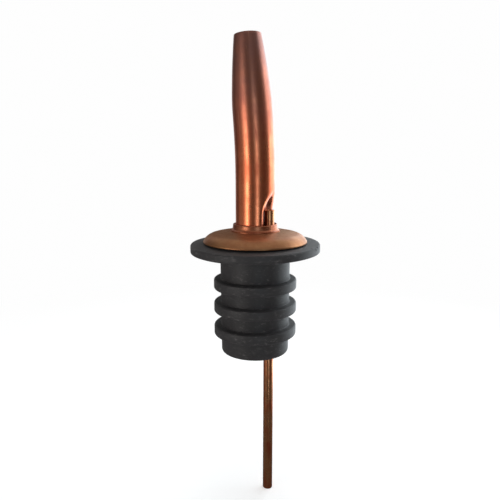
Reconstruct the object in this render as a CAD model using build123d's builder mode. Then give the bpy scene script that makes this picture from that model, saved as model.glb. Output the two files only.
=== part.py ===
from build123d import *
from math import cos, radians, sin
import os

# Liquor pour spout. Millimetres, +Z up along the stopper's axis.
# The origin is the centre of the flange's underside, which rests on the bottle's lip.
# The vent tube stands on the +X side and the spout leans towards -X, the way it pours.

# Rubber stopper
FLANGE_RADIUS = 15.5
FLANGE_THICKNESS = 1.9
FLANGE_EDGE_ROUND = 0.35
STOPPER_DEPTH = 25.2
CORE_RADIUS_TOP = 8.4
CORE_RADIUS_BOTTOM = 8.2
CORE_EDGE_ROUND = 0.7
RIB_RADIUS = 10.0
RIB_HEIGHT = 2.4
RIB_EDGE_ROUND = 0.35
RIB_ROOT_OVERLAP = 0.4
RIB_COUNT = 3
RIB_PITCH = 5.7
FIRST_RIB_Z = -8.1

# Stem: the metal tube through the stopper, flared under its lower end
STEM_BORE_RADIUS = 4.88
STEM_WALL = 0.42
STEM_TOP_Z = 5.15
FLARE_RADIUS = 6.5
FLARE_THICKNESS = 0.5
FLARE_MOUTH_ROUND = 0.34

# Cover disc: a pressed crown with a rolled-down edge
COVER_RADIUS = 12.4
COVER_THICKNESS = 0.5
COVER_TOP_Z = 4.75
COVER_CROWN_RADIUS = 50.0
COVER_SHOULDER_START = 10.0
COVER_RIM_HEIGHT = 0.3
COVER_HOLE_CLEARANCE = 0.05

# Collar: the ring that joins the spout and the vent to the stem
COLLAR_TOP_Z = 6.35
COLLAR_LIP_RADIUS = 5.02
COLLAR_BODY_RADIUS = 5.24
COLLAR_SHOULDER_DROP = 0.35
COLLAR_WAIST_RADIUS = 5.34
COLLAR_FOOT_RADIUS = 5.95
COLLAR_FOOT_RISE = 0.75
COLLAR_FOOT_EDGE = 0.12
COLLAR_SPIGOT_DEPTH = 0.45

# Spout: a round tube, straight at the base, with one long gentle bend and a necked-in end
SPOUT_WALL = 0.4
SPOUT_FOOT_Z = 1.0
SPOUT_RADIUS = 4.62
SPOUT_BEND_START_Z = 15.9
SPOUT_BEND_ANGLE = 4.3
SPOUT_BEND_RADIUS = 187.0
SPOUT_RUN_LENGTH = 19.3
SPOUT_NECK_START = 2.4
SPOUT_NECK_END = 6.1
SPOUT_NECK_RADIUS = 4.49
SPOUT_TIP_RADIUS = 3.12

# Vent tube, and the groove pressed into the spout for it
VENT_RADIUS = 1.2
VENT_WALL = 0.28
VENT_OFFSET = 3.62
VENT_TOP_Z = 9.7
VENT_BOTTOM_Z = -62.0
GROOVE_RADIUS = 1.32
GROOVE_WALL_ANGLE = 66.0
GROOVE_HALF_REACH = 5.2
GROOVE_STRAIGHT_TOP_Z = 8.6
GROOVE_RUNOUT_CENTRE_X = 8.35
GROOVE_LIP_ROUND = 0.9

# Solder that seals the spout and the vent into the collar and the stem
SOLDER_BOTTOM_Z = 3.2
SOLDER_TOP_Z = 6.1

STEM_RADIUS = STEM_BORE_RADIUS + STEM_WALL
COVER_HOLE_RADIUS = STEM_RADIUS + COVER_HOLE_CLEARANCE

os.makedirs("parts", exist_ok=True)


def crown_z(radius, crown_radius, top_z):
    """Height of a crown arc centred on the axis, given its height at the hole's edge."""
    drop = (crown_radius**2 - COVER_HOLE_RADIUS**2) ** 0.5 - (crown_radius**2 - radius**2) ** 0.5
    return top_z - drop


def spout_bar(shrink):
    """The spout as a solid bar, its radius made smaller all along by the given amount."""
    turn = radians(SPOUT_BEND_ANGLE)
    bend_axis = Axis((-SPOUT_BEND_RADIUS, 0, SPOUT_BEND_START_Z), (0, -1, 0))
    run_plane = Plane(
        origin=(
            -SPOUT_BEND_RADIUS * (1 - cos(turn)), 0, SPOUT_BEND_START_Z + SPOUT_BEND_RADIUS * sin(turn)
        ),
        x_dir=(cos(turn), 0, sin(turn)),
        z_dir=(0, -1, 0),
    )
    run_axis = Axis(run_plane.origin, run_plane.y_dir)
    with BuildPart(mode=Mode.PRIVATE) as bar:
        with BuildSketch(Plane.XY.offset(SPOUT_FOOT_Z)):
            Circle(SPOUT_RADIUS - shrink)
        extrude(amount=SPOUT_BEND_START_Z - SPOUT_FOOT_Z)
        with BuildSketch(Plane.XY.offset(SPOUT_BEND_START_Z)) as bend_section:
            Circle(SPOUT_RADIUS - shrink)
        revolve(bend_section.sketch, axis=bend_axis, revolution_arc=SPOUT_BEND_ANGLE)
        with BuildSketch(run_plane) as run_profile:
            with BuildLine():
                neck_start = (SPOUT_RADIUS - shrink, SPOUT_NECK_START)
                neck_end = (SPOUT_NECK_RADIUS - shrink, SPOUT_NECK_END)
                tip = (SPOUT_TIP_RADIUS - shrink, SPOUT_RUN_LENGTH)
                Polyline((0, SPOUT_RUN_LENGTH), (0, 0), (SPOUT_RADIUS - shrink, 0), neck_start)
                shoulder = TangentArc(neck_start, neck_end, tangent=(0, 1))
                TangentArc(neck_end, tip, tangent=shoulder % 1)
                Line(tip, (0, SPOUT_RUN_LENGTH))
            make_face()
        revolve(run_profile.sketch, axis=run_axis)
    return bar.part


# One moulding: the flange that sits on the lip, the core and its three sealing ribs.
with BuildPart() as stopper:
    with BuildSketch(Plane.XZ):
        with BuildLine():
            Polyline(
                (STEM_RADIUS, FLANGE_THICKNESS),
                (FLANGE_RADIUS, FLANGE_THICKNESS),
                (FLANGE_RADIUS, 0),
                (CORE_RADIUS_TOP, 0),
                (CORE_RADIUS_BOTTOM, -STOPPER_DEPTH),
                (STEM_RADIUS, -STOPPER_DEPTH),
                close=True,
            )
        make_face()
    revolve(axis=Axis.Z)
    flange_edges = stopper.edges().filter_by(GeomType.CIRCLE).sort_by(SortBy.RADIUS)[-2:]
    fillet(flange_edges, FLANGE_EDGE_ROUND)
    bottom_rim = stopper.edges().group_by(Axis.Z)[0].sort_by(SortBy.RADIUS)[-1]
    fillet(bottom_rim, CORE_EDGE_ROUND)
    for index in range(RIB_COUNT):
        rib_z = FIRST_RIB_Z - index * RIB_PITCH
        with BuildSketch(Plane.XZ):
            with Locations((CORE_RADIUS_BOTTOM - RIB_ROOT_OVERLAP, rib_z)):
                Rectangle(
                    RIB_RADIUS - CORE_RADIUS_BOTTOM + RIB_ROOT_OVERLAP,
                    RIB_HEIGHT,
                    align=(Align.MIN, Align.CENTER),
                )
            crest = vertices().group_by(Axis.X)[-1]
            fillet(crest, RIB_EDGE_ROUND)
        revolve(axis=Axis.Z)

# The stem's lower end is flared out under the rubber, which holds the stack together.
with BuildPart() as stem_tube:
    with BuildSketch(Plane.XZ):
        with BuildLine():
            Polyline(
                (STEM_BORE_RADIUS, STEM_TOP_Z),
                (STEM_RADIUS, STEM_TOP_Z),
                (STEM_RADIUS, -STOPPER_DEPTH),
                (FLARE_RADIUS, -STOPPER_DEPTH),
                (FLARE_RADIUS, -STOPPER_DEPTH - FLARE_THICKNESS),
                (STEM_BORE_RADIUS, -STOPPER_DEPTH - FLARE_THICKNESS),
                close=True,
            )
        make_face()
    revolve(axis=Axis.Z)
    mouth = stem_tube.edges().group_by(Axis.Z)[0].sort_by(SortBy.RADIUS)[0]
    fillet(mouth, FLARE_MOUTH_ROUND)

# The cover's outside is a shallow crown that rolls down to a short upright rim.
with BuildPart() as cover_disc:
    outer_z = crown_z(COVER_SHOULDER_START, COVER_CROWN_RADIUS, COVER_TOP_Z)
    inner_crown = COVER_CROWN_RADIUS - COVER_THICKNESS
    inner_z = crown_z(COVER_SHOULDER_START, inner_crown, COVER_TOP_Z - COVER_THICKNESS)
    slope = (COVER_SHOULDER_START / COVER_CROWN_RADIUS) / (
        1 - (COVER_SHOULDER_START / COVER_CROWN_RADIUS) ** 2
    ) ** 0.5
    rim_top = FLANGE_THICKNESS + COVER_RIM_HEIGHT
    with BuildSketch(Plane.XZ):
        with BuildLine():
            RadiusArc(
                (COVER_HOLE_RADIUS, COVER_TOP_Z), (COVER_SHOULDER_START, outer_z), COVER_CROWN_RADIUS
            )
            TangentArc(
                (COVER_SHOULDER_START, outer_z), (COVER_RADIUS, rim_top), tangent=(1, -slope)
            )
            Polyline(
                (COVER_RADIUS, rim_top),
                (COVER_RADIUS, FLANGE_THICKNESS),
                (COVER_RADIUS - COVER_THICKNESS, FLANGE_THICKNESS),
            )
            TangentArc(
                (COVER_SHOULDER_START, inner_z),
                (COVER_RADIUS - COVER_THICKNESS, FLANGE_THICKNESS),
                tangent=(1, -slope),
            )
            RadiusArc(
                (COVER_HOLE_RADIUS, COVER_TOP_Z - COVER_THICKNESS),
                (COVER_SHOULDER_START, inner_z),
                inner_crown,
            )
            Line(
                (COVER_HOLE_RADIUS, COVER_TOP_Z - COVER_THICKNESS), (COVER_HOLE_RADIUS, COVER_TOP_Z)
            )
        make_face()
    revolve(axis=Axis.Z)

# A turned ring: thin rounded lip, nearly straight body and a foot that sweeps out over the cover.
with BuildPart() as collar:
    foot_z = COVER_TOP_Z
    waist = (COLLAR_WAIST_RADIUS, foot_z + COLLAR_FOOT_RISE)
    foot_edge = (COLLAR_FOOT_RADIUS, foot_z + COLLAR_FOOT_EDGE)
    lip = (COLLAR_LIP_RADIUS, COLLAR_TOP_Z)
    shoulder = (COLLAR_BODY_RADIUS, COLLAR_TOP_Z - COLLAR_SHOULDER_DROP)
    with BuildSketch(Plane.XZ):
        with BuildLine():
            Polyline((STEM_BORE_RADIUS, foot_z), (STEM_BORE_RADIUS, COLLAR_TOP_Z), lip)
            TangentArc(lip, shoulder, tangent=(1, 0))
            Line(shoulder, waist)
            TangentArc(waist, foot_edge, tangent=(0, -1))
            Polyline(foot_edge, (COLLAR_FOOT_RADIUS, foot_z), (STEM_BORE_RADIUS, foot_z))
        make_face()
    revolve(axis=Axis.Z)
    with BuildSketch(Plane.XY.offset(foot_z)):
        Circle(STEM_RADIUS)
    extrude(amount=COLLAR_SPIGOT_DEPTH, mode=Mode.SUBTRACT)
    # The underside follows the cover's crown so that the foot lies on it all round.
    with BuildSketch(Plane.XZ):
        with BuildLine():
            RadiusArc(
                (0, crown_z(0, COVER_CROWN_RADIUS, COVER_TOP_Z)),
                (COVER_RADIUS, crown_z(COVER_RADIUS, COVER_CROWN_RADIUS, COVER_TOP_Z)),
                COVER_CROWN_RADIUS,
            )
            Polyline(
                (COVER_RADIUS, crown_z(COVER_RADIUS, COVER_CROWN_RADIUS, COVER_TOP_Z)),
                (0, crown_z(COVER_RADIUS, COVER_CROWN_RADIUS, COVER_TOP_Z)),
                (0, crown_z(0, COVER_CROWN_RADIUS, COVER_TOP_Z)),
            )
        make_face()
    revolve(axis=Axis.Z, mode=Mode.SUBTRACT)


def groove_profile(plane, radius):
    """Section of the groove: a wide V, open to +X, with a round bottom about the vent's axis."""
    lean = radians(GROOVE_WALL_ANGLE)
    wall_start = (VENT_OFFSET - radius * sin(lean), radius * cos(lean))
    wall_length = (GROOVE_HALF_REACH - wall_start[1]) / sin(lean)
    wall_end = (wall_start[0] + wall_length * cos(lean), GROOVE_HALF_REACH)
    with BuildSketch(plane, mode=Mode.PRIVATE) as profile:
        with BuildLine():
            ThreePointArc(
                (wall_start[0], -wall_start[1]), (VENT_OFFSET - radius, 0), wall_start
            )
            Polyline(
                wall_start,
                wall_end,
                (GROOVE_RUNOUT_CENTRE_X, GROOVE_HALF_REACH),
                (GROOVE_RUNOUT_CENTRE_X, -GROOVE_HALF_REACH),
                (wall_end[0], -wall_end[1]),
                (wall_start[0], -wall_start[1]),
            )
        make_face()
    return profile.sketch


def groove_tool(radius):
    """The space of the groove: upright beside the vent, then curving out of the spout's side."""
    runout_plane = Plane.XY.offset(GROOVE_STRAIGHT_TOP_Z)
    runout_axis = Axis((GROOVE_RUNOUT_CENTRE_X, 0, GROOVE_STRAIGHT_TOP_Z), (0, 1, 0))
    with BuildPart(mode=Mode.PRIVATE) as tool:
        extrude(groove_profile(Plane.XY, radius), amount=GROOVE_STRAIGHT_TOP_Z)
        revolve(groove_profile(runout_plane, radius), axis=runout_axis, revolution_arc=90)
    return tool.part


def is_groove_lip(edge):
    """The groove's long edges, where its walls meet the round of the spout."""
    return edge.geom_type == GeomType.BSPLINE and abs((edge @ 0.5).Y) > GROOVE_RADIUS


# The spout's outside, as a solid bar with the groove pressed in.
with BuildPart() as spout_outside:
    add(spout_bar(0))
    add(groove_tool(GROOVE_RADIUS), mode=Mode.SUBTRACT)
    fillet(spout_outside.edges().filter_by(is_groove_lip), GROOVE_LIP_ROUND)

# The liquid way inside it, one wall in from the outside and from the groove.
with BuildPart() as spout_inside:
    add(spout_bar(SPOUT_WALL))
    add(groove_tool(GROOVE_RADIUS + SPOUT_WALL), mode=Mode.SUBTRACT)
    fillet(spout_inside.edges().filter_by(is_groove_lip), GROOVE_LIP_ROUND - SPOUT_WALL)

with BuildPart() as spout_tube:
    add(spout_outside.part)
    add(spout_inside.part, mode=Mode.SUBTRACT)

# The vent is one straight tube from the stub beside the spout to its end in the bottle.
with BuildPart() as vent_tube:
    with BuildSketch(Plane.XY.offset(VENT_BOTTOM_Z)):
        with Locations((VENT_OFFSET, 0)):
            Circle(VENT_RADIUS)
            Circle(VENT_RADIUS - VENT_WALL, mode=Mode.SUBTRACT)
    extrude(amount=VENT_TOP_Z - VENT_BOTTOM_Z)

# The solder fills what the spout and the vent leave of the collar's bore.
with BuildPart() as solder_fill:
    with BuildSketch(Plane.XY.offset(SOLDER_BOTTOM_Z)):
        Circle(STEM_BORE_RADIUS)
        with Locations((VENT_OFFSET, 0)):
            Circle(VENT_RADIUS, mode=Mode.SUBTRACT)
    extrude(amount=SOLDER_TOP_Z - SOLDER_BOTTOM_Z)
    add(spout_outside.part, mode=Mode.SUBTRACT)

stopper.part.label = "stopper"
stem_tube.part.label = "stem_tube"
cover_disc.part.label = "cover_disc"
collar.part.label = "collar"
spout_tube.part.label = "spout_tube"
vent_tube.part.label = "vent_tube"
solder_fill.part.label = "solder_fill"

export_step(stopper.part, "parts/stopper.step")
export_step(stem_tube.part, "parts/stem_tube.step")
export_step(cover_disc.part, "parts/cover_disc.step")
export_step(collar.part, "parts/collar.step")
export_step(spout_tube.part, "parts/spout_tube.step")
export_step(vent_tube.part, "parts/vent_tube.step")
export_step(solder_fill.part, "parts/solder_fill.step")
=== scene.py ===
"""Liquor pour spout: plated metal tubes, collar and cover on a moulded rubber stopper.

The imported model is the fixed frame. Each visible piece is modelled here around it, rides on
its body, stands for its CAD node and wears a procedural finish.
"""

import logging
import math
from collections.abc import Callable, Iterable, Mapping, Sequence
from dataclasses import dataclass
from enum import Enum
from typing import ClassVar, Protocol

import bpy
import numpy as np
from mathutils import Matrix, Vector


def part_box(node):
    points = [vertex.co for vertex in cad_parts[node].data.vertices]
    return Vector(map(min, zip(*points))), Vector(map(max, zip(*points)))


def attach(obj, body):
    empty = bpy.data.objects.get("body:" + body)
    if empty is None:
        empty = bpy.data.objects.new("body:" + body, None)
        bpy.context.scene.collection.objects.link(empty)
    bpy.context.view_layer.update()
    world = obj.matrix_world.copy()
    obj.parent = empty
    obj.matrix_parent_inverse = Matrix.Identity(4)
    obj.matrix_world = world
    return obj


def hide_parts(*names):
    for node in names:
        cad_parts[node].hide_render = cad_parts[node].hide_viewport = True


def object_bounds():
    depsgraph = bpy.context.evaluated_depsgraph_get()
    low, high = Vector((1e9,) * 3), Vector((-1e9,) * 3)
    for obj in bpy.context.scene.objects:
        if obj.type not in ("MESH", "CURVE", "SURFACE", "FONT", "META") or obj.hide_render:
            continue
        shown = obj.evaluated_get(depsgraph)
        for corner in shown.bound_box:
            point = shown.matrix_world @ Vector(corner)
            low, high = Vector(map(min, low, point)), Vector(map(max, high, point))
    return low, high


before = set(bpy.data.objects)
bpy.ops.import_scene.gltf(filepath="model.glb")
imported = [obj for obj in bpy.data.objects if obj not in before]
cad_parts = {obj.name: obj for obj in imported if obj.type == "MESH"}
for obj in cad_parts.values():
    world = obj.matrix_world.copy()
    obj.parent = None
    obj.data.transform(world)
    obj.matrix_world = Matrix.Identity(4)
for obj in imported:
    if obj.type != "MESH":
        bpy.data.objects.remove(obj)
CAD_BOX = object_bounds()

log = logging.getLogger("pour_spout")

MM = 0.001
BODY = "root"
STRAIGHT = "straight"
GROOVE_SHADE_AND_TARNISH = "groove_shade_and_tarnish"

Station = tuple[float, float]
Colour = tuple[float, float, float]
Point = tuple[float, float, float]


class Grain(Enum):
    """Which way the fine marks of a metal finish run."""

    LENGTHWISE = "drawn along the tube"
    TURNED = "turned around the axis"


# --------------------------------------------------------------------------------------
# Shader trees
# --------------------------------------------------------------------------------------


class Wire:
    """An output socket of a shader tree, with arithmetic that adds Math nodes."""

    def __init__(self, tree: "Tree", socket: bpy.types.NodeSocket) -> None:
        """Wraps a socket.

        Args:
            tree: The tree that the socket belongs to.
            socket: The output socket.
        """
        self.tree = tree
        self.socket = socket

    def _math(self, operation: str, first: object, second: object) -> "Wire":
        """Adds one Math node on two values."""
        return self.tree.add("ShaderNodeMath", {"operation": operation}, {0: first, 1: second})

    def __add__(self, other: object) -> "Wire":
        """This value plus another."""
        return self._math("ADD", self, other)

    def __radd__(self, other: object) -> "Wire":
        """Another value plus this one."""
        return self._math("ADD", other, self)

    def __sub__(self, other: object) -> "Wire":
        """This value less another."""
        return self._math("SUBTRACT", self, other)

    def __rsub__(self, other: object) -> "Wire":
        """Another value less this one."""
        return self._math("SUBTRACT", other, self)

    def __mul__(self, other: object) -> "Wire":
        """This value times another."""
        return self._math("MULTIPLY", self, other)

    def __rmul__(self, other: object) -> "Wire":
        """Another value times this one."""
        return self._math("MULTIPLY", other, self)

    def __pow__(self, other: object) -> "Wire":
        """This value to a power."""
        return self._math("POWER", self, other)

    def between(self, low: float, high: float) -> "Wire":
        """Turns this value smoothly from 0 at low to 1 at high.

        Args:
            low: The value that gives 0.
            high: The value that gives 1, which may be lower than low.

        Returns:
            The turned value, from 0 to 1.
        """
        settings = {"interpolation_type": "SMOOTHSTEP"}
        first, second, start, end = (low, high, 0.0, 1.0) if low < high else (high, low, 1.0, 0.0)
        inputs = {"Value": self, "From Min": first, "From Max": second, "To Min": start, "To Max": end}
        return self.tree.add("ShaderNodeMapRange", settings, inputs)


class Tree:
    """One material's shader tree."""

    def __init__(self, name: str) -> None:
        """Starts an empty material.

        Args:
            name: The material's name.
        """
        self.material = bpy.data.materials.new(name)
        self.material.use_nodes = True
        self.nodes = self.material.node_tree.nodes
        self.links = self.material.node_tree.links
        self.nodes.clear()

    def add(
        self,
        kind: str,
        settings: Mapping[str, object] | None = None,
        inputs: Mapping[str | int, object] | None = None,
        output: str | int = 0,
    ) -> Wire:
        """Adds a node: its settings first, then its sockets.

        Args:
            kind: The node's type.
            settings: The node's own properties; "stops" holds a ramp's (place, colour) pairs.
            inputs: Values or wires, by socket name or number.
            output: The output that the returned wire stands for.

        Returns:
            A wire from the chosen output.
        """
        node = self.nodes.new(kind)
        for key, value in (settings or {}).items():
            if key == "stops":
                self._set_stops(node, value)
            else:
                setattr(node, key, value)
        for key, value in (inputs or {}).items():
            if isinstance(value, Wire):
                self.links.new(value.socket, node.inputs[key])
            else:
                node.inputs[key].default_value = value
        return Wire(self, node.outputs[output])

    @staticmethod
    def _set_stops(node: bpy.types.Node, stops: Sequence[tuple[float, Colour]]) -> None:
        """Gives a colour ramp its stops."""
        elements = node.color_ramp.elements
        while len(elements) < len(stops):
            elements.new(1.0)
        for element, (place, colour) in zip(elements, stops):
            element.position = place
            element.color = (*colour, 1.0)

    def place(self) -> Wire:
        """The point on the piece, in metres in the frame."""
        return self.add("ShaderNodeTexCoord", output="Object")

    def attribute(self, name: str) -> Wire:
        """A vector that the mesh carries."""
        return self.add("ShaderNodeAttribute", {"attribute_name": name}, output="Vector")

    def scaled(self, vector: Wire, scale: Point) -> Wire:
        """A vector times another, part by part."""
        return self.add("ShaderNodeVectorMath", {"operation": "MULTIPLY"}, {0: vector, 1: scale})

    def part(self, vector: Wire, letter: str) -> Wire:
        """One part of a vector, by its letter."""
        return self.add("ShaderNodeSeparateXYZ", inputs={0: vector}, output=letter)

    def radius(self, vector: Wire) -> Wire:
        """A vector's distance from the Z axis."""
        flat = self.scaled(vector, (1.0, 1.0, 0.0))
        return self.add("ShaderNodeVectorMath", {"operation": "LENGTH"}, {0: flat}, output="Value")

    def noise(self, vector: Wire, scale: float, detail: float = 3.0, roughness: float = 0.55) -> Wire:
        """Smooth noise about 0.5.

        Args:
            vector: The coordinates.
            scale: How many features a unit of the coordinates holds.
            detail: How many finer layers are added.
            roughness: How strong the finer layers are.

        Returns:
            The noise's value.
        """
        inputs = {"Vector": vector, "Scale": scale, "Detail": detail, "Roughness": roughness}
        return self.add("ShaderNodeTexNoise", inputs=inputs)

    def mix(self, factor: object, first: object, second: object) -> Wire:
        """A colour between two.

        Args:
            factor: 0 for the first colour and 1 for the second.
            first: A colour or a wire.
            second: A colour or a wire.

        Returns:
            The mixed colour.
        """
        sides = [value if isinstance(value, Wire) else (*value, 1.0) for value in (first, second)]
        settings = {"data_type": "RGBA", "clamp_factor": True}
        return self.add("ShaderNodeMix", settings, {0: factor, 6: sides[0], 7: sides[1]}, output=2)

    def bump(self, height: Wire, distance: float, strength: float, normal: Wire | None = None) -> Wire:
        """A bumped normal.

        Args:
            height: The height, from 0 to 1.
            distance: What a height of 1 measures, in metres.
            strength: How much of the bump shows.
            normal: A normal to start from, from another bump.

        Returns:
            The normal.
        """
        inputs: dict[str | int, object] = {"Height": height, "Distance": distance, "Strength": strength}
        if normal is not None:
            inputs["Normal"] = normal
        return self.add("ShaderNodeBump", inputs=inputs)

    def finish(self, surface: Mapping[str | int, object]) -> bpy.types.Material:
        """Ends the tree in one Principled surface.

        Args:
            surface: The shader's values and wires, by socket name.

        Returns:
            The finished material.
        """
        shader = self.add("ShaderNodeBsdfPrincipled", inputs=surface)
        self.add_output(shader)
        return self.material

    def add_output(self, shader: Wire) -> None:
        """Links a shader to the material's output."""
        node = self.nodes.new("ShaderNodeOutputMaterial")
        self.links.new(shader.socket, node.inputs["Surface"])


# --------------------------------------------------------------------------------------
# Finishes
# --------------------------------------------------------------------------------------


class Finish(Protocol):
    """A surface that a piece can wear."""

    def material(self) -> bpy.types.Material:
        """Builds the finish as a material."""
        ...


@dataclass(frozen=True)
class CopperPlate:
    """Antique copper plating: brushed, darkened unevenly and lacquered; it can also carry a painted
    reflection that greys it with height, and painted shade in a groove.

    Attributes:
        name: The material's name.
        grain: Which way its marks run.
        bright: The colour of clean plating.
        aged: The colour where the plating has darkened.
        dull: The grey of the painted reflection, which stands in for the paler room that the upper metal
            mirrors.
        painted_reflection_span: Heights in metres between which that painted grey grows in.
        roughness: How matt the brushed metal is.
        vector: The mesh attribute that the grain follows, or None for the place itself.
        shades_groove: Whether the mesh says where painted shade and tarnish darken the groove.
        groove_shade_and_tarnish_colour: The colour of that painted shade and tarnish.
        speck: The colour of the small specks.
        scratch: The colour of bare metal in the scratches.
        coat: How much of the lacquer is left.
    """

    name: str
    grain: Grain
    bright: Colour = (0.92, 0.27, 0.125)
    aged: Colour = (0.66, 0.145, 0.065)
    dull: Colour = (0.33, 0.165, 0.14)
    painted_reflection_span: tuple[float, float] = (1.0, 2.0)
    roughness: float = 0.26
    vector: str | None = None
    shades_groove: bool = False
    groove_shade_and_tarnish_colour: Colour = (0.13, 0.045, 0.03)
    speck: Colour = (0.16, 0.07, 0.05)
    scratch: Colour = (0.93, 0.50, 0.30)
    coat: float = 0.05

    def _marks(self, tree: Tree, place: Wire) -> Wire:
        """Fine lines along the grain, as a noise about 0.5."""
        if self.grain is Grain.LENGTHWISE:
            return tree.noise(tree.scaled(place, (1.0, 1.0, 0.03)), 9000.0, 2.0)
        turned = tree.add(
            "ShaderNodeCombineXYZ", inputs={0: tree.radius(place), 1: tree.part(place, "Z"), 2: 0.0}
        )
        return tree.noise(turned, 11000.0, 2.0)

    def _scratches(self, tree: Tree, place: Wire) -> Wire:
        """Sparse longer scratches that cross the grain a little, as thin ridges near 1."""
        tilted = tree.add(
            "ShaderNodeMapping",
            {"vector_type": "POINT"},
            {"Vector": place, "Rotation": (0.0, math.radians(14.0), 0.3), "Scale": (1.0, 1.0, 0.05)},
        )
        band = tree.noise(tilted, 2600.0, 1.0)
        return band.between(0.71, 0.78)

    def material(self) -> bpy.types.Material:
        """Builds the finish as a material."""
        tree = Tree(self.name)
        place = tree.attribute(self.vector) if self.vector else tree.place()
        marks = self._marks(tree, place)
        scratches = self._scratches(tree, place)
        clouds = tree.noise(place, 190.0, 4.0, 0.62)
        streaks = tree.noise(tree.scaled(place, (1.0, 1.0, 0.12)), 900.0, 3.0)
        specks = tree.noise(place, 3300.0, 2.0).between(0.70, 0.80)
        # Painted reflection: the plating greys with height, standing in for the paler room that the
        # upper spout mirrors.
        painted_reflection = tree.part(place, "Z").between(*self.painted_reflection_span)
        ageing = (clouds * 0.75 + streaks * 0.45 + marks * 0.15).between(0.52, 0.86)
        colour = tree.mix(ageing, self.bright, self.aged)
        colour = tree.mix(painted_reflection * (0.55 + 0.6 * clouds), colour, self.dull)
        # Painted shade, with some tarnish, where the mesh marks the pressed groove and its lower lips.
        if self.shades_groove:
            groove_shade_and_tarnish = tree.part(tree.attribute(GROOVE_SHADE_AND_TARNISH), "X")
            colour = tree.mix(groove_shade_and_tarnish * (0.55 + 0.5 * clouds), colour, self.groove_shade_and_tarnish_colour)
        colour = tree.mix(specks * 0.55, colour, self.speck)
        colour = tree.mix(scratches * 0.30, colour, self.scratch)
        roughness = self.roughness + 0.10 * ageing + 0.08 * (marks - 0.5) + 0.12 * specks
        roughness = roughness + 0.08 * painted_reflection
        fine = tree.bump(marks, 2.0e-6, 0.5)
        normal = tree.bump(streaks * 0.4 + clouds * 0.6 - scratches * 0.15, 7e-6, 0.45, fine)
        surface = {
            "Base Color": colour,
            "Metallic": 1.0,
            "Roughness": roughness,
            "Normal": normal,
            "Coat Weight": self.coat,
            "Coat Roughness": 0.16,
            "Coat IOR": 1.48,
        }
        return tree.finish(surface)


@dataclass(frozen=True)
class MouldedRubber:
    """Black moulded rubber: fine skin texture, pale scuffs, dust and small pits, with painted shade in
    the pits and nicks.

    Attributes:
        name: The material's name.
        nicks: The middles of small nicks, in metres.
        skin: The rubber's own colour.
        scuffed: Its colour where it is rubbed.
        dusty: The colour of the dust.
        pit_shade: The painted shade in the pits and the nicks.
        nick_size: How far a nick reaches from its middle.
        nick_depth: How deep it is.
    """

    name: str
    nicks: tuple[Point, ...]
    skin: Colour = (0.027, 0.024, 0.025)
    scuffed: Colour = (0.17, 0.155, 0.15)
    dusty: Colour = (0.20, 0.185, 0.175)
    pit_shade: Colour = (0.008, 0.007, 0.007)
    nick_size: float = 0.38 * MM
    nick_depth: float = 0.22 * MM

    def _nicked(self, tree: Tree, place: Wire) -> Wire | float:
        """How much of a nick there is at a place, from 0 to 1."""
        total: Wire | float = 0.0
        for nick in self.nicks:
            gap = tree.add(
                "ShaderNodeVectorMath", {"operation": "DISTANCE"}, {0: place, 1: nick}, output="Value"
            )
            ragged = gap + self.nick_size * 0.9 * (tree.noise(place, 4200.0) - 0.5)
            total = total + ragged.between(self.nick_size, 0.45 * self.nick_size)
        return total

    def material(self) -> bpy.types.Material:
        """Builds the finish as a material."""
        tree = Tree(self.name)
        place = tree.place()
        skin = tree.noise(place, 5200.0, 3.0, 0.7)
        clouds = tree.noise(place, 240.0, 4.0, 0.6)
        rubbed = tree.noise(tree.scaled(place, (1.0, 1.0, 2.6)), 900.0, 5.0, 0.68).between(0.52, 0.74)
        dust = tree.noise(place, 6400.0, 1.0).between(0.74, 0.80)
        pits = tree.noise(place, 1500.0, 1.5, 0.4).between(0.74, 0.80)
        nicked = self._nicked(tree, place)
        wear = rubbed * (0.25 + 0.75 * clouds.between(0.42, 0.64))
        colour = tree.mix(wear * 0.75, self.skin, self.scuffed)
        colour = tree.mix(dust * 0.5, colour, self.dusty)
        # Painted shade: the pits and nicks are darkened as if in shadow.
        colour = tree.mix(pits + nicked, colour, self.pit_shade)
        height = skin * 0.35 + clouds * 0.65 - pits * 1.6 + rubbed * 0.25
        texture = tree.bump(height, 5.5e-5, 0.7)
        surface = {
            "Base Color": colour,
            "Roughness": 0.52 + 0.16 * wear + 0.10 * (skin - 0.5) + 0.35 * nicked,
            "Normal": tree.bump(1.0 - nicked, self.nick_depth, 1.0, texture),
            "Specular IOR Level": 0.45,
            "Sheen Weight": 0.06,
            "Sheen Roughness": 0.5,
        }
        return tree.finish(surface)


@dataclass(frozen=True)
class TarnishedSolder:
    """Tin solder that has gone dull and taken a brown flux stain.

    Attributes:
        name: The material's name.
        metal: The colour of the bare solder.
        stain: The colour of the stain.
    """

    name: str
    metal: Colour = (0.34, 0.27, 0.23)
    stain: Colour = (0.10, 0.045, 0.03)

    def material(self) -> bpy.types.Material:
        """Builds the finish as a material."""
        tree = Tree(self.name)
        place = tree.place()
        lumps = tree.noise(place, 1500.0, 4.0, 0.6)
        stain = tree.noise(place, 800.0, 3.0).between(0.36, 0.62)
        surface = {
            "Base Color": tree.mix(stain, self.metal, self.stain),
            "Metallic": 0.85,
            "Roughness": 0.42 + 0.25 * stain,
            "Normal": tree.bump(lumps, 4.0e-5, 0.8),
        }
        return tree.finish(surface)


# --------------------------------------------------------------------------------------
# Modelling
# --------------------------------------------------------------------------------------


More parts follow.
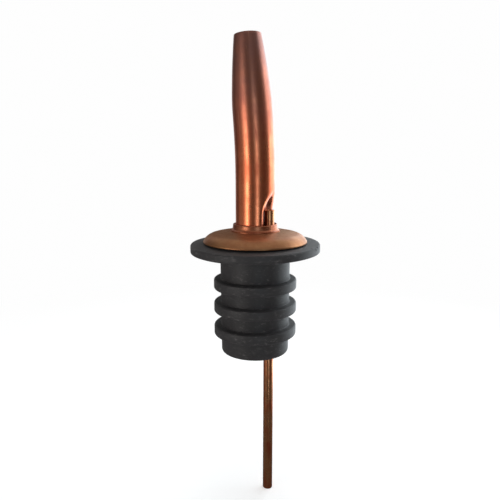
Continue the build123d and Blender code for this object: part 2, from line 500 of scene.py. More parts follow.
def arc(start: Station, end: Station, heading: Station, steps: int) -> list[Station]:
    """Stations along the circular arc that leaves start in a heading and reaches end.

    Args:
        start: The first (radius, height), which is left out of the result.
        end: The last (radius, height).
        heading: The direction at start.
        steps: How many stretches the arc has.

    Returns:
        The stations after start, end included.
    """
    chord = Vector(end) - Vector(start)
    ahead = Vector(heading).normalized()
    side = Vector((-ahead.y, ahead.x))
    if side.dot(chord) < 0:
        side = -side
    radius = chord.length_squared / (2 * side.dot(chord))
    centre = Vector(start) + side * radius
    sweep = 2 * math.atan2(side.dot(chord), ahead.dot(chord))
    stations = []
    for step in range(1, steps + 1):
        angle = sweep * step / steps
        point = centre - side * radius * math.cos(angle) + ahead * radius * math.sin(angle)
        stations.append((point.x, point.y))
    return stations


def corner(before: Station, at: Station, after: Station, radius: float, steps: int = 4) -> list[Station]:
    """Stations that round the corner between two straight stretches.

    Args:
        before: A station on the stretch that comes in.
        at: The sharp corner.
        after: A station on the stretch that goes out.
        radius: The round's radius.
        steps: How many stretches the round has.

    Returns:
        The stations of the round, both ends included.
    """
    incoming = (Vector(at) - Vector(before)).normalized()
    outgoing = (Vector(after) - Vector(at)).normalized()
    turn = incoming.angle(outgoing)
    reach = radius * math.tan(turn / 2)
    start = Vector(at) - incoming * reach
    end = Vector(at) + outgoing * reach
    return [tuple(start), *arc(tuple(start), tuple(end), tuple(incoming), steps)]


def rounded(outline: Sequence[Station], radii: Mapping[int, float], steps: int = 4) -> list[Station]:
    """A closed outline with some of its corners rounded.

    Args:
        outline: The sharp corners in order.
        radii: Radii by corner number.
        steps: How many stretches each round has.

    Returns:
        The stations of the rounded outline.
    """
    stations: list[Station] = []
    count = len(outline)
    for index, at in enumerate(outline):
        if index in radii:
            before, after = outline[index - 1], outline[(index + 1) % count]
            stations += corner(before, at, after, radii[index], steps)
        else:
            stations.append(at)
    return stations


class Bench:
    """The modelling steps that the pieces share, each made with Blender's own operators."""

    @staticmethod
    def clear_selection() -> None:
        """Leaves edit mode and deselects everything."""
        if bpy.context.object and bpy.context.object.mode != "OBJECT":
            bpy.ops.object.mode_set(mode="OBJECT")
        bpy.ops.object.select_all(action="DESELECT")

    @staticmethod
    def only(piece: bpy.types.Object) -> None:
        """Makes a piece the only one selected, and active."""
        Bench.clear_selection()
        piece.select_set(True)
        bpy.context.view_layer.objects.active = piece

    @staticmethod
    def walk_rings(
        name: str, stations: Sequence[Station], segments: int, closed: bool
    ) -> bpy.types.Object:
        """Draws a round piece by extruding a circle from station to station.

        Args:
            name: The piece's name.
            stations: (radius, height) of each ring, in metres.
            segments: How many sides a ring has.
            closed: Whether the last ring is bridged back to the first.

        Returns:
            The new piece, at the origin.
        """
        Bench.clear_selection()
        radius, height = stations[0]
        bpy.ops.mesh.primitive_circle_add(vertices=segments, radius=radius, location=(0, 0, height))
        piece = bpy.context.object
        piece.name = piece.data.name = name
        bpy.ops.object.transform_apply(location=True, rotation=False, scale=False)
        bpy.ops.object.mode_set(mode="EDIT")
        bpy.ops.mesh.select_mode(type="EDGE")
        bpy.ops.mesh.select_all(action="SELECT")
        for next_radius, next_height in stations[1:]:
            rise = (0.0, 0.0, next_height - height)
            bpy.ops.mesh.extrude_region_move(TRANSFORM_OT_translate={"value": rise})
            growth = next_radius / radius
            bpy.ops.transform.resize(value=(growth, growth, 1.0), center_override=(0.0, 0.0, 0.0))
            radius, height = next_radius, next_height
        if closed:
            bpy.ops.mesh.select_all(action="DESELECT")
            bpy.ops.mesh.select_non_manifold(extend=False, use_boundary=True, use_wire=False)
            bpy.ops.mesh.bridge_edge_loops()
        bpy.ops.mesh.select_all(action="SELECT")
        bpy.ops.mesh.normals_make_consistent(inside=False)
        bpy.ops.object.mode_set(mode="OBJECT")
        return piece

    @staticmethod
    def reshape(piece: bpy.types.Object, move: Callable[[np.ndarray], np.ndarray]) -> None:
        """Moves a piece's points.

        Args:
            piece: The piece.
            move: Takes the points as rows of x, y and z, and returns the moved ones.
        """
        points = Bench.points(piece)
        piece.data.vertices.foreach_set("co", move(points).astype(np.float32).ravel())
        piece.data.update()

    @staticmethod
    def points(piece: bpy.types.Object) -> np.ndarray:
        """A piece's points as rows of x, y and z."""
        flat = np.empty(len(piece.data.vertices) * 3, np.float32)
        piece.data.vertices.foreach_get("co", flat)
        return flat.reshape(-1, 3).astype(float)

    @staticmethod
    def remember(piece: bpy.types.Object, name: str, rows: np.ndarray) -> None:
        """Keeps a vector for each point as an attribute of the mesh.

        Args:
            piece: The piece.
            name: The attribute's name.
            rows: The vectors, as rows of x, y and z.
        """
        kept = piece.data.attributes.new(name, "FLOAT_VECTOR", "POINT")
        kept.data.foreach_set("vector", rows.astype(np.float32).ravel())

    @staticmethod
    def modify(piece: bpy.types.Object, kind: str, settings: Mapping[str, object]) -> None:
        """Adds a modifier and applies it.

        Args:
            piece: The piece.
            kind: The modifier's type.
            settings: Its properties.
        """
        Bench.only(piece)
        modifier = piece.modifiers.new(kind.title(), kind)
        for key, value in settings.items():
            setattr(modifier, key, value)
        bpy.ops.object.modifier_apply(modifier=modifier.name)

    @staticmethod
    def smooth(piece: bpy.types.Object, degrees: float) -> None:
        """Shades a piece smooth, with sharp edges above an angle."""
        Bench.only(piece)
        bpy.ops.object.shade_smooth_by_angle(angle=math.radians(degrees))


class Piece:
    """A visible piece, which stands for one CAD node.

    Attributes:
        name: The piece's name.
        node: The CAD node that it stands for.
        slot: The record's material slot, which is not used.
        sharp_above: Angle in degrees above which an edge stays sharp.
    """

    name: ClassVar[str]
    node: ClassVar[str]
    slot: ClassVar[str]
    sharp_above: ClassVar[float] = 35.0

    @property
    def box(self) -> tuple[Vector, Vector]:
        """The lowest and the highest corner of the piece's CAD node."""
        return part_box(self.node)

    def model(self) -> bpy.types.Object:
        """Models the piece in the frame, at the origin."""
        raise NotImplementedError

    def build(self, finish: Finish) -> bpy.types.Object:
        """Models the piece, dresses it and gives it its place in the frame.

        Args:
            finish: Its finish.

        Returns:
            The piece.
        """
        piece = self.model()
        Bench.smooth(piece, self.sharp_above)
        piece.data.materials.clear()
        piece.data.materials.append(finish.material())
        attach(piece, BODY)
        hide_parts(self.node)
        log.info("%s: %d faces, for %s", piece.name, len(piece.data.polygons), self.node)
        return piece


# --------------------------------------------------------------------------------------
# Metalwork
# --------------------------------------------------------------------------------------


@dataclass
class VentGroove:
    """The wide V pressed into the spout's side, with a round bottom about the vent's axis.

    Attributes:
        offset: The vent's distance from the stopper's axis.
        radius: The groove's bottom radius.
        wall_lean: The angle between a wall and the groove's own direction, in radians.
        straight_top: Height where the groove stops being upright and starts to run out.
        runout_x: Where the run-out's centre of curvature lies.
        lip: The radius of the rounded lips.
        deepest: The share of the tube's radius that no point is pressed past.
        halvings: How often the search for the pressed surface halves its step.
    """

    offset: float = 3.62 * MM
    radius: float = 1.32 * MM
    wall_lean: float = math.radians(66.0)
    straight_top: float = 8.6 * MM
    runout_x: float = 8.35 * MM
    lip: float = 0.9 * MM
    deepest: float = 0.2
    halvings: int = 26

    def clearance(self, x: np.ndarray, y: np.ndarray, z: np.ndarray) -> np.ndarray:
        """How far points are outside the pressed space; negative inside it.

        Args:
            x: Distances towards the vent.
            y: Distances across the groove.
            z: Heights.

        Returns:
            The signed distances.
        """
        above = np.maximum(z - self.straight_top, 0.0)
        depth = self.runout_x - np.hypot(np.maximum(self.runout_x - x, 0.0), above)
        out, across = depth - self.offset, np.abs(y)
        wall = -out * math.sin(self.wall_lean) + across * math.cos(self.wall_lean)
        in_round = out * math.cos(self.wall_lean) + across * math.sin(self.wall_lean) < 0
        return np.where(in_round, np.hypot(out, across), wall) - self.radius

    def press(self, x: np.ndarray, y: np.ndarray, z: np.ndarray) -> tuple[np.ndarray, np.ndarray]:
        """Moves points of a round tube in to the pressed surface, straight towards its axis.

        Args:
            x: Distances towards the vent, on the round tube.
            y: Distances across.
            z: Heights.

        Returns:
            The pressed x and y.
        """
        full = np.hypot(x, y)
        low, high = self.deepest * full, full.copy()
        for _ in range(self.halvings):
            middle = (low + high) / 2
            share = middle / full
            inside_tube = middle - full
            inside_metal = -self.clearance(x * share, y * share, z)
            first = np.maximum(inside_tube + self.lip, 0.0)
            second = np.maximum(inside_metal + self.lip, 0.0)
            both = np.minimum(np.maximum(inside_tube, inside_metal), -self.lip)
            outside = both + np.hypot(first, second) > 0
            high = np.where(outside, middle, high)
            low = np.where(outside, low, (low + high) / 2)
        share = high / full
        return x * share, y * share


@dataclass
class SpoutTube(Piece):
    """The round spout: upright base, one long gentle bend, then a run that necks in to the tip.

    Attributes:
        groove: The groove in its side.
        wall: The metal's thickness.
        radius: Outer radius up to the neck.
        neck_radius: Outer radius where the neck's first curve ends.
        tip_radius: Outer radius at the tip.
        base_length: From the foot to the bend.
        bend_turn: The bend's angle, in radians.
        bend_sweep: The radius that the centreline turns on.
        neck_start: Along the run, where it starts to neck in.
        neck_end: Along the run, where the neck's first curve ends.
        run_length: From the bend to the tip.
        groove_end: From the foot to above the groove, where rings are close together.
        groove_shade_and_tarnish_depth: How deep the groove is where its painted shade and tarnish are
            strongest.
        lip_shade_top: From the foot to where the painted shade on the groove's lips ends.
        lip_shade_fade: The length over which the painted shade on the lips fades.
        lip_depth: How far the lips are pressed where they start to take painted shade.
        lip_shade: How much painted shade the lips take.
        plain_share: How much of the painted shade and tarnish mask is taken off, so that shallow
            pressing stays plain.
        rim_round: Round of the cut rims.
        ring_gap: From ring to ring up to the groove's end.
        segments: Sides of a ring.
    """

    name: ClassVar[str] = "spout"
    node: ClassVar[str] = "spout_tube"
    slot: ClassVar[str] = "spout_copper"

    groove: VentGroove
    wall: float = 0.4 * MM
    radius: float = 4.62 * MM
    neck_radius: float = 4.49 * MM
    tip_radius: float = 3.12 * MM
    base_length: float = 14.9 * MM
    bend_turn: float = math.radians(4.3)
    bend_sweep: float = 187.0 * MM
    neck_start: float = 2.4 * MM
    neck_end: float = 6.1 * MM
    run_length: float = 19.3 * MM
    groove_end: float = 13.6 * MM
    groove_shade_and_tarnish_depth: float = 0.9 * MM
    lip_shade_top: float = 9.6 * MM
    lip_shade_fade: float = 1.6 * MM
    lip_depth: float = 0.05 * MM
    lip_shade: float = 0.75
    plain_share: float = 0.35
    rim_round: float = 0.11 * MM
    ring_gap: float = 0.24 * MM
    segments: int = 216

    @property
    def foot(self) -> float:
        """Height of the spout's foot."""
        return self.box[0].z

    @property
    def bend_length(self) -> float:
        """Length of the centreline through the bend."""
        return self.bend_sweep * self.bend_turn

    def _stations(self) -> list[Station]:
        """Rings of the straightened tube, closer together where the groove is."""
        run = self.base_length + self.bend_length
        neck_start = (self.radius, run + self.neck_start)
        neck_end = (self.neck_radius, run + self.neck_end)
        lower = np.arange(0.0, self.groove_end, self.ring_gap)
        upper = np.linspace(self.groove_end, neck_start[1], 24)
        stations = [(self.radius, along) for along in (*lower, *upper)]
        stations += arc(neck_start, neck_end, (0.0, 1.0), 6)
        lean = 2 * math.atan2(self.radius - self.neck_radius, self.neck_end - self.neck_start)
        tip = (self.tip_radius, run + self.run_length)
        return stations + arc(neck_end, tip, (-math.sin(lean), math.cos(lean)), 20)

    def _bend(self, points: np.ndarray) -> np.ndarray:
        """Puts the straightened, pressed tube on the spout's real centreline."""
        x, y, along = points.T
        turned = np.clip((along - self.base_length) / self.bend_length, 0.0, 1.0) * self.bend_turn
        run = np.maximum(along - self.base_length - self.bend_length, 0.0)
        upright = np.minimum(along, self.base_length)
        centre_x = -self.bend_sweep * (1 - np.cos(turned)) - run * np.sin(turned)
        centre_z = self.foot + upright + self.bend_sweep * np.sin(turned) + run * np.cos(turned)
        return np.stack([centre_x + x * np.cos(turned), y, centre_z + x * np.sin(turned)], 1)

    def _press(self, points: np.ndarray) -> np.ndarray:
        """Presses the groove into the straightened tube."""
        x, y = self.groove.press(points[:, 0], points[:, 1], points[:, 2] + self.foot)
        return np.stack([x, y, points[:, 2]], 1)

    def model(self) -> bpy.types.Object:
        """Models the spout."""
        piece = Bench.walk_rings(self.name, self._stations(), self.segments, closed=False)
        round_tube = Bench.points(piece)
        Bench.remember(piece, STRAIGHT, round_tube)
        Bench.reshape(piece, self._press)
        # Painted shade, with some tarnish, in the groove by how deep it is pressed, and painted shade on
        # its lower lips, where the vent stub shades them.
        pressed = np.linalg.norm(Bench.points(piece) - round_tube, axis=1)
        low = np.clip((self.lip_shade_top - round_tube[:, 2]) / self.lip_shade_fade, 0.0, 1.0)
        lips = self.lip_shade * low * np.clip(pressed / self.lip_depth, 0.0, 1.0)
        groove_shade_and_tarnish = np.clip(pressed / self.groove_shade_and_tarnish_depth + lips - self.plain_share, 0.0, 1.0)
        Bench.remember(piece, GROOVE_SHADE_AND_TARNISH, np.stack([groove_shade_and_tarnish] * 3, 1))
        Bench.reshape(piece, self._bend)
        walls = {"thickness": self.wall, "offset": -1.0, "use_even_offset": True}
        Bench.modify(piece, "SOLIDIFY", walls)
        rims = {
            "width": self.rim_round,
            "segments": 3,
            "limit_method": "ANGLE",
            "angle_limit": math.radians(60.0),
        }
        Bench.modify(piece, "BEVEL", rims)
        return piece


@dataclass
class VentTube(Piece):
    """The straight vent tube, from its stub beside the spout to its end in the bottle.

    Attributes:
        offset: Its distance from the stopper's axis.
        radius: Its outer radius.
        wall: Its thickness.
        edge: The round of its cut edges.
        segments: Sides of a ring.
    """

    name: ClassVar[str] = "vent"
    node: ClassVar[str] = "vent_tube"
    slot: ClassVar[str] = "vent_copper"

    offset: float = 3.62 * MM
    radius: float = 1.2 * MM
    wall: float = 0.28 * MM
    edge: float = 0.07 * MM
    segments: int = 72

    def model(self) -> bpy.types.Object:
        """Models the vent tube."""
        low, high = (end.z for end in self.box)
        bore = self.radius - self.wall
        outline = [(self.radius, low), (self.radius, high), (bore, high), (bore, low)]
        rounds = {0: self.edge, 1: self.edge * 1.6, 2: self.edge, 3: self.edge}
        piece = Bench.walk_rings(self.name, rounded(outline, rounds), self.segments, closed=True)
        Bench.only(piece)
        bpy.ops.object.mode_set(mode="EDIT")
        bpy.ops.mesh.select_all(action="SELECT")
        bpy.ops.transform.translate(value=(self.offset, 0.0, 0.0))
        bpy.ops.object.mode_set(mode="OBJECT")
        return piece


@dataclass
class Collar(Piece):
    """The turned ring around the foot of the spout.

    Attributes:
        cover: The cover that its foot lies on.
        stem: The stem that comes up under it.
        bore: Its inner radius.
        lip: Radius where its flat top ends.
        lip_round: Round of the bore's top edge.
        body: Radius under the rounded shoulder.
        waist: Radius where the foot starts to sweep out.
        shoulder_drop: How far the shoulder is below the top.
        foot_rise: How far the waist is above the cover.
        foot_edge: How thick the foot is at its rim.
        seat: Radius of the seat under it that takes the stem.
        segments: Sides of a ring.
    """

    name: ClassVar[str] = "collar_ring"
    node: ClassVar[str] = "collar"
    slot: ClassVar[str] = "collar_copper"
    sharp_above: ClassVar[float] = 50.0

    cover: "CoverDisc"
    stem: "StemTube"
    bore: float = 4.88 * MM
    lip: float = 5.02 * MM
    lip_round: float = 0.05 * MM
    body: float = 5.24 * MM
    waist: float = 5.34 * MM
    shoulder_drop: float = 0.35 * MM
    foot_rise: float = 0.75 * MM
    foot_edge: float = 0.12 * MM
    seat: float = 5.35 * MM
    segments: int = 168

    def model(self) -> bpy.types.Object:
        """Models the collar."""
        foot, top = self.box[1].x, self.box[1].z
        crown, cover_top = self.cover.crown, self.cover.top
        lip_edge = corner((self.bore, top - MM), (self.bore, top), (self.lip, top), self.lip_round)
        seat, seat_top = self.seat, self.stem.box[1].z
        stations = [(self.bore, seat_top), *lip_edge, (self.lip, top)]
        stations += arc((self.lip, top), (self.body, top - self.shoulder_drop), (1.0, 0.0), 8)
        waist = (self.waist, cover_top + self.foot_rise)
        heading = (0.0, -1.0)
        stations += [waist, *arc(waist, (foot, cover_top + self.foot_edge), heading, 10)]
        stations += [(foot, crown(foot)), (seat, crown(seat)), (seat, seat_top)]
        return Bench.walk_rings(self.name, stations, self.segments, closed=True)


@dataclass
class CoverDisc(Piece):
    """The pressed cover: a shallow crown whose edge rolls down to a short rim.

    Attributes:
        thickness: The sheet's thickness.
        hole: Radius of the hole over the stem.
        top: Height of the crown at its hole.
        crown_sweep: The crown's radius of curvature.
        shoulder: Radius where the crown starts to roll down.
        rim_height: Height of the upright rim.
        rim_round: Round of the rim's lower edge.
        segments: Sides of a ring.
    """

    name: ClassVar[str] = "cover"
    node: ClassVar[str] = "cover_disc"
    slot: ClassVar[str] = "cover_copper"

    thickness: float = 0.5 * MM
    hole: float = 5.35 * MM
    top: float = 4.75 * MM
    crown_sweep: float = 50.0 * MM
    shoulder: float = 10.0 * MM
    rim_height: float = 0.3 * MM
    rim_round: float = 0.16 * MM
    segments: int = 192

    def crown(self, radius: float, depth: float = 0.0) -> float:
        """Height of the crown at a radius, or of the surface a depth under it."""
        sweep = self.crown_sweep - depth
        rise = math.sqrt(sweep**2 - radius**2) - math.sqrt(sweep**2 - self.hole**2)
        return self.top - depth + rise

    def model(self) -> bpy.types.Object:
        """Models the cover."""
        low, high = self.box
        rim, base = high.x, low.z
        slope = (math.sqrt(self.crown_sweep**2 - self.shoulder**2), -self.shoulder)
        across = np.linspace(self.hole, self.shoulder, 14)
        stations = [(radius, self.crown(radius)) for radius in across]
        stations += arc(stations[-1], (rim, base + self.rim_height), slope, 12)
        inner_rim = rim - self.thickness
        stations += corner((rim, base + MM), (rim, base), (inner_rim, base), self.rim_round, 5)
        stations.append((inner_rim, base))
        roll = (self.shoulder, self.crown(self.shoulder, self.thickness))
        stations += [*reversed(arc(roll, (inner_rim, base), slope, 10)[:-1]), roll]
        stations += [(radius, self.crown(radius, self.thickness)) for radius in across[-2::-1]]
        return Bench.walk_rings(self.name, stations, self.segments, closed=True)


@dataclass
class StemTube(Piece):
    """The tube through the rubber, flared out under the stopper's lower end.

    Attributes:
        bore: Its inner radius.
        wall: Its thickness.
        flare_thickness: The flare's thickness.
        mouth_round: Round of the mouth in the flare.
        edge: Round of the cut upper edges.
        flare_top_round: Round of the flare's upper edge.
        flare_round: Round of the flare's lower edge.
        segments: Sides of a ring.
    """

    name: ClassVar[str] = "stem"
    node: ClassVar[str] = "stem_tube"
    slot: ClassVar[str] = "stem_metal"

    bore: float = 4.88 * MM
    wall: float = 0.42 * MM
    flare_thickness: float = 0.5 * MM
    mouth_round: float = 0.34 * MM
    edge: float = 0.06 * MM
    flare_top_round: float = 0.12 * MM
    flare_round: float = 0.24 * MM
    segments: int = 144

    def model(self) -> bpy.types.Object:
        """Models the stem."""
        low, high = self.box
        outside, flare = self.bore + self.wall, high.x
        shelf = low.z + self.flare_thickness
        outline = [
            (self.bore, low.z),
            (self.bore, high.z),
            (outside, high.z),
            (outside, shelf),
            (flare, shelf),
            (flare, low.z),
        ]
        rounds = {0: self.mouth_round, 1: self.edge, 2: self.edge}
        rounds |= {4: self.flare_top_round, 5: self.flare_round}
        return Bench.walk_rings(self.name, rounded(outline, rounds, 6), self.segments, closed=True)


@dataclass
class SolderFill(Piece):
    """The solder in the collar around the spout and in the groove, with an uneven skin.

    Attributes:
        groove: The groove that it fills.
        spout: The spout that it holds.
        vent: The vent tube that passes through it.
        bore: The collar's bore.
        inner_share: The inner ring's radius, as a share of the bore, before it is poured.
        climb: How far the skin climbs where it wets a wall.
        drill: Length of the cut for the vent tube, more than the solder's depth.
        segments: Sides of a ring.
    """

    name: ClassVar[str] = "solder"
    node: ClassVar[str] = "solder_fill"
    slot: ClassVar[str] = "solder"
    sharp_above: ClassVar[float] = 50.0

    groove: VentGroove
    spout: SpoutTube
    vent: VentTube
    bore: float = 4.88 * MM
    inner_share: float = 0.7
    climb: float = 0.10 * MM
    drill: float = 10.0 * MM
    segments: int = 216

    def _pour(self, points: np.ndarray) -> np.ndarray:
        """Brings the inner ring up to the pressed spout and makes the skin uneven."""
        x, y, z = points.T
        radius = np.hypot(x, y)
        inner = self.inner_share * self.bore
        share = np.clip((radius - inner) / (self.bore - inner), 0.0, 1.0)
        wall = self.spout.radius
        edge_x, edge_y = self.groove.press(x / radius * wall, y / radius * wall, z)
        edge = np.hypot(edge_x, edge_y)
        reached = edge + share * (self.bore - edge)
        low, high = z.min(), z.max()
        angle = np.arctan2(y, x)
        wet = self.climb * (2.0 * share - 1.0) ** 2
        waves = 0.35 * self.climb * (np.sin(7 * angle + 1.0) + np.sin(17 * angle))
        skin = np.where(z > (low + high) / 2, wet - self.climb + waves * (1 - share) * share * 4, 0.0)
        return np.stack([x / radius * reached, y / radius * reached, z + skin], 1)

    def _drill(self, piece: bpy.types.Object) -> None:
        """Cuts the vent tube's place out of the solder."""
        low, high = self.box
        Bench.clear_selection()
        bpy.ops.mesh.primitive_cylinder_add(
            vertices=self.vent.segments,
            radius=self.vent.radius,
            depth=self.drill,
            location=(self.vent.offset, 0.0, (low.z + high.z) / 2),
        )
        cutter = bpy.context.object
        Bench.modify(piece, "BOOLEAN", {"operation": "DIFFERENCE", "object": cutter})
        bpy.data.objects.remove(cutter)

    def model(self) -> bpy.types.Object:
        """Models the solder."""
        low, high = self.box
        across = np.linspace(self.inner_share * self.bore, self.bore, 9)
        stations = [(radius, high.z) for radius in across]
        stations += [(radius, low.z) for radius in reversed(across)]
        piece = Bench.walk_rings(self.name, stations, self.segments, closed=True)
        Bench.reshape(piece, self._pour)
        self._drill(piece)
        return piece


# --------------------------------------------------------------------------------------
# Rubber
# --------------------------------------------------------------------------------------


@dataclass
class RibbedStopper(Piece):
    """The rubber moulding: flange on the lip, core in the neck and three sealing ribs.

    Attributes:
        bore: The hole that the stem fills.
        flange_round: Round of the flange's edges.
        flange_root: Round under the flange, where it meets the core.
        core_top: Core radius under the flange.
        core_bottom: Core radius at the lower end.
        core_round: Round of the core's lower edge.
        rib_radius: Radius of the relaxed ribs.
        rib_height: Height of a rib.
        rib_round: Round of a rib's edges.
        rib_root: Round where a rib meets the core.
        rib_pitch: From one rib to the next.
        first_rib: Height of the first rib's middle.
        rib_count: How many ribs there are.
        sag_start: Radius where the flange starts to sag.
        sag: How far its edge sags on the whole.
        sag_tilt: How much further it sags on its lowest side.
        sag_side: The direction of that side, in radians.
        sag_growth: The power of the radius that the sag grows with.
        wave: How far the edge waves three times round.
        ripple: How far it ripples seven times round.
        lobe: How far the moulding is out of round.
        lobe_twist: How its five lobes turn with height, in radians a metre.
        segments: Sides of a ring.
    """

    name: ClassVar[str] = "stopper_moulding"
    node: ClassVar[str] = "stopper"
    slot: ClassVar[str] = "stopper_rubber"

    bore: float = 5.3 * MM
    flange_round: float = 0.36 * MM
    flange_root: float = 0.3 * MM
    core_top: float = 8.4 * MM
    core_bottom: float = 8.2 * MM
    core_round: float = 0.7 * MM
    rib_radius: float = 10.0 * MM
    rib_height: float = 2.4 * MM
    rib_round: float = 0.38 * MM
    rib_root: float = 0.28 * MM
    rib_pitch: float = 5.7 * MM
    first_rib: float = -8.1 * MM
    rib_count: int = 3
    sag_start: float = 9.5 * MM
    sag: float = 0.34 * MM
    sag_tilt: float = 0.30 * MM
    sag_side: float = math.radians(-95.0)
    sag_growth: float = 1.3
    wave: float = 0.03 * MM
    ripple: float = 0.018 * MM
    lobe: float = 0.015 * MM
    lobe_twist: float = 60.0
    segments: int = 208

    def _core(self, height: float, bottom: float) -> float:
        """Core radius at a height."""
        return self.core_top + (self.core_bottom - self.core_top) * height / bottom

    def _stations(self) -> list[Station]:
        """The moulding's outline, from the top of the bore round to its bottom."""
        low, high = self.box
        flange, top, bottom = high.x, high.z, low.z
        outline: list[Station] = [(self.bore, top), (flange, top), (flange, 0.0), (self.core_top, 0.0)]
        rounds = {1: self.flange_round, 2: self.flange_round, 3: self.flange_root}
        for index in range(self.rib_count):
            middle = self.first_rib - index * self.rib_pitch
            for side, turn in ((1, "root"), (1, "crest"), (-1, "crest"), (-1, "root")):
                height = middle + side * self.rib_height / 2
                radius = self.rib_radius if turn == "crest" else self._core(height, bottom)
                rounds[len(outline)] = self.rib_round if turn == "crest" else self.rib_root
                outline.append((radius, height))
        rounds[len(outline)] = self.core_round
        outline += [(self.core_bottom, bottom), (self.bore, bottom)]
        return rounded(outline, rounds, 5)

    def _settle(self, points: np.ndarray) -> np.ndarray:
        """Lets the flange sag under its own weight, and adds the unevenness of a moulding."""
        x, y, z = points.T
        angle, radius = np.arctan2(y, x), np.hypot(x, y)
        outer = np.clip((radius - self.sag_start) / (self.box[1].x - self.sag_start), 0.0, 1.0)
        sag = self.sag + self.sag_tilt * np.cos(angle - self.sag_side)
        sag = sag + self.wave * np.sin(3 * angle + 0.6) + self.ripple * np.sin(7 * angle)
        flange = outer**self.sag_growth * (z > -MM)
        lobes = self.lobe * (np.sin(5 * angle + self.lobe_twist * z) - 1.0)
        shrink = np.where(radius > self.bore * 1.2, 1.0 + lobes / radius, 1.0)
        return np.stack([x * shrink, y * shrink, z - flange * sag], 1)

    def model(self) -> bpy.types.Object:
        """Models the stopper."""
        piece = Bench.walk_rings(self.name, self._stations(), self.segments, closed=True)
        Bench.reshape(piece, self._settle)
        return piece

    def nicks(self) -> tuple[Point, ...]:
        """The middles of the nicks in the flange's upper edge, on the vent's side."""
        rim, top = self.box[1].x, self.box[1].z
        return (
            (rim - 0.12 * MM, 0.6 * MM, top - 0.40 * MM),
            (rim - 0.06 * MM, -0.8 * MM, top - 0.72 * MM),
            (rim - 0.70 * MM, -1.9 * MM, top - 0.30 * MM),
        )


# --------------------------------------------------------------------------------------
# Studio
# --------------------------------------------------------------------------------------


@dataclass(frozen=True)
class SoftBox:
    """A rectangular light that faces the spout.

    Attributes:
        name: The light's name.
        bearing: Where it stands round the object, in degrees from the camera's side, + to the right.
        distance: From the axis, in metres.
        height: Of its middle, in metres.
        width: In metres.
        tall: Its height, in metres.
        glow: How bright its surface looks.
        tint: Its colour.
    """

    name: str
    bearing: float
    distance: float
    height: float
    width: float
    tall: float
    glow: float
    tint: Colour = (1.0, 1.0, 1.0)

    def place(self, facing: float) -> None:
        """Puts the light in the scene.

        Args:
            facing: The camera's azimuth, in radians.
        """
        lamp = bpy.data.lights.new(self.name, "AREA")
        lamp.shape, lamp.size, lamp.size_y = "RECTANGLE", self.width, self.tall
        lamp.energy = self.glow * math.pi * self.width * self.tall
        lamp.color = self.tint
        light = bpy.data.objects.new(self.name, lamp)
        bpy.context.collection.objects.link(light)
        angle = facing + math.radians(self.bearing)
        spot = Vector((math.sin(angle), -math.cos(angle), 0.0)) * self.distance
        light.location = spot + Vector((0.0, 0.0, self.height))
        aim = Vector((0.0, 0.0, 0.01)) - light.location
        light.rotation_euler = aim.to_track_quat("-Z", "Y").to_euler()


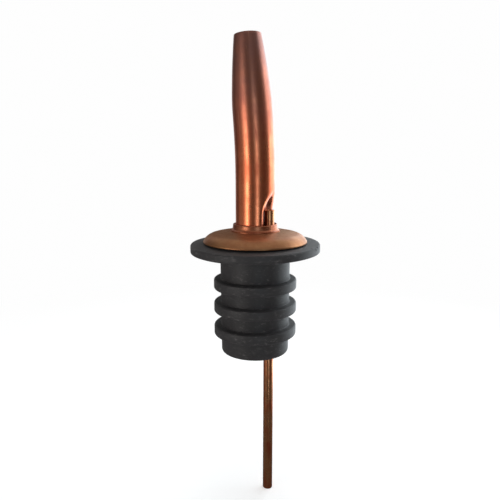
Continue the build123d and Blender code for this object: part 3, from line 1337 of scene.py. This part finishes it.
@dataclass
class Studio:
    """Camera, floor and lights.

    Attributes:
        azimuth: The camera's place round the object, in radians.
        distance: The camera's distance from the axis, in metres.
        height: The camera's height over the origin, in metres.
        pitch: How far it looks down, in radians.
        swing: How far it is turned to the left of the axis, in radians.
        lens: Focal length, in millimetres.
        floor_gap: How far the floor is under the vent's end.
        floor_glow: How much light of its own the floor gives.
        floor_fade: Between which distances from the axis it fades, in metres.
        white: The colour of the background.
        room: How bright the unlit room looks to everything but the camera.
        ceiling_size: Across the lit ceiling, in metres.
        ceiling_glow: How bright the lit ceiling looks.
        lamp_size: Across the lamp overhead, in metres.
        lamp_glow: How bright the lamp overhead looks.
        overhead_spot: Where both of them hang, in metres.
    """

    azimuth: float = math.radians(24.0)
    distance: float = 0.125
    height: float = 0.023
    pitch: float = math.radians(10.48)
    swing: float = math.radians(0.56)
    lens: float = 38.05
    floor_gap: float = 0.02 * MM
    floor_glow: float = 0.55
    floor_fade: tuple[float, float] = (0.03, 0.22)
    white: Colour = (0.99, 0.99, 0.99)
    room: float = 0.085
    ceiling_size: float = 2.2
    ceiling_glow: float = 0.28
    lamp_size: float = 0.32
    lamp_glow: float = 3.6
    overhead_spot: Point = (0.0, 0.05, 0.75)

    def camera(self) -> None:
        """Sets up the camera."""
        data = bpy.data.cameras.new("camera")
        data.lens, data.sensor_width = self.lens, 36.0
        data.clip_start, data.clip_end = 0.01, 20.0
        camera = bpy.data.objects.new("camera", data)
        bpy.context.collection.objects.link(camera)
        spot = Vector((math.sin(self.azimuth), -math.cos(self.azimuth), 0.0)) * self.distance
        turn = Matrix.Rotation(self.azimuth + self.swing, 4, "Z")
        tip = Matrix.Rotation(math.radians(90.0) - self.pitch, 4, "X")
        place = Matrix.Translation(spot + Vector((0.0, 0.0, self.height)))
        camera.matrix_world = place @ turn @ tip
        bpy.context.scene.camera = camera

    def floor(self) -> None:
        """Lays a plain pale floor that fades into the background."""
        Bench.clear_selection()
        level = CAD_BOX[0].z - self.floor_gap
        bpy.ops.mesh.primitive_circle_add(
            vertices=96, radius=6.0, fill_type="NGON", location=(0.0, 0.0, level)
        )
        floor = bpy.context.object
        floor.name = "floor"
        tree = Tree("pale_floor")
        away = tree.radius(tree.place())
        white = (*self.white, 1.0)
        plain = {"Base Color": (0.80, 0.80, 0.80, 1.0), "Roughness": 0.9, "Specular IOR Level": 0.1}
        glow = {"Emission Color": white, "Emission Strength": self.floor_glow}
        near = tree.add("ShaderNodeBsdfPrincipled", inputs=plain | glow)
        far = tree.add("ShaderNodeEmission", inputs={"Color": white})
        fade = away.between(*self.floor_fade)
        tree.add_output(tree.add("ShaderNodeMixShader", inputs={0: fade, 1: near, 2: far}))
        floor.data.materials.append(tree.material)
        floor.visible_glossy = False

    def world(self) -> None:
        """A white background, and a dimmer room for what the metal mirrors."""
        world = bpy.data.worlds.new("room")
        world.use_nodes = True
        nodes, links = world.node_tree.nodes, world.node_tree.links
        nodes.clear()
        seen = nodes.new("ShaderNodeBackground")
        seen.inputs["Color"].default_value = (*self.white, 1.0)
        room = nodes.new("ShaderNodeBackground")
        room.inputs["Color"].default_value = (1.0, 0.97, 0.93, 1.0)
        room.inputs["Strength"].default_value = self.room
        path = nodes.new("ShaderNodeLightPath")
        blend = nodes.new("ShaderNodeMixShader")
        out = nodes.new("ShaderNodeOutputWorld")
        links.new(path.outputs["Is Camera Ray"], blend.inputs[0])
        links.new(room.outputs[0], blend.inputs[1])
        links.new(seen.outputs[0], blend.inputs[2])
        links.new(blend.outputs[0], out.inputs["Surface"])
        bpy.context.scene.world = world

    def lights(self) -> None:
        """Places the soft boxes."""
        boxes = [
            SoftBox("key_left", -50.0, 0.42, 0.0, 0.21, 0.34, 1.15, (1.0, 0.97, 0.93)),
            SoftBox("key_core", -47.0, 0.41, -0.02, 0.075, 0.28, 3.0, (1.0, 0.97, 0.93)),
            SoftBox("fill_left", -88.0, 0.50, 0.02, 0.40, 0.50, 0.16),
            SoftBox("strip_front", 12.5, 0.46, -0.03, 0.095, 0.42, 2.5, (0.70, 0.90, 1.0)),
            SoftBox("wall_right", 130.0, 0.50, 0.06, 0.78, 0.70, 2.5, (0.86, 0.95, 1.0)),
            SoftBox("back_left", -150.0, 0.60, 0.16, 0.20, 0.50, 0.4),
        ]
        for box in boxes:
            box.place(self.azimuth)
        self.overhead("ceiling", self.ceiling_size, self.ceiling_glow)
        self.overhead("lamp", self.lamp_size, self.lamp_glow)

    def overhead(self, name: str, size: float, glow: float) -> None:
        """Hangs a round light over the object.

        Args:
            name: The light's name.
            size: Its diameter, in metres.
            glow: How bright its surface looks.
        """
        light = bpy.data.lights.new(name, "AREA")
        light.shape, light.size = "DISK", size
        light.energy = glow * math.pi**2 * size**2 / 4
        lamp = bpy.data.objects.new(name, light)
        lamp.location = self.overhead_spot
        bpy.context.collection.objects.link(lamp)

    def set_up(self) -> None:
        """Makes everything that isn't the object."""
        self.camera()
        self.floor()
        self.world()
        self.lights()
        view = bpy.context.scene.view_settings
        view.view_transform, view.look = "Standard", "None"


def main() -> None:
    """Builds the pourer from the stopper up, then the studio."""
    logging.basicConfig(level=logging.INFO, format="%(name)s: %(message)s")
    groove, vent = VentGroove(), VentTube()
    stopper, stem, cover, spout = RibbedStopper(), StemTube(), CoverDisc(), SpoutTube(groove)
    stopper.build(MouldedRubber("black_rubber", stopper.nicks()))
    stem.build(CopperPlate("stem_plating", Grain.LENGTHWISE, roughness=0.36))
    satin = CopperPlate(
        "cover_plating", Grain.TURNED, (0.49, 0.235, 0.108), (0.42, 0.18, 0.085), roughness=0.40
    )
    cover.build(satin)
    ring = CopperPlate(
        "collar_plating", Grain.TURNED, (0.54, 0.195, 0.10), (0.34, 0.10, 0.05), roughness=0.36
    )
    Collar(cover, stem).build(ring)
    # Painted reflection greys the upper spout; painted shade, with some tarnish, darkens its groove and
    # lower lips.
    plating = CopperPlate(
        "spout_plating",
        Grain.LENGTHWISE,
        painted_reflection_span=(16.0 * MM, 46.0 * MM),
        vector=STRAIGHT,
        shades_groove=True,
    )
    spout.build(plating)
    vent.build(CopperPlate("vent_plating", Grain.LENGTHWISE, (0.84, 0.38, 0.18)))
    SolderFill(groove, spout, vent).build(TarnishedSolder("old_solder"))
    Studio().set_up()


if __name__ == "__main__":
    main()
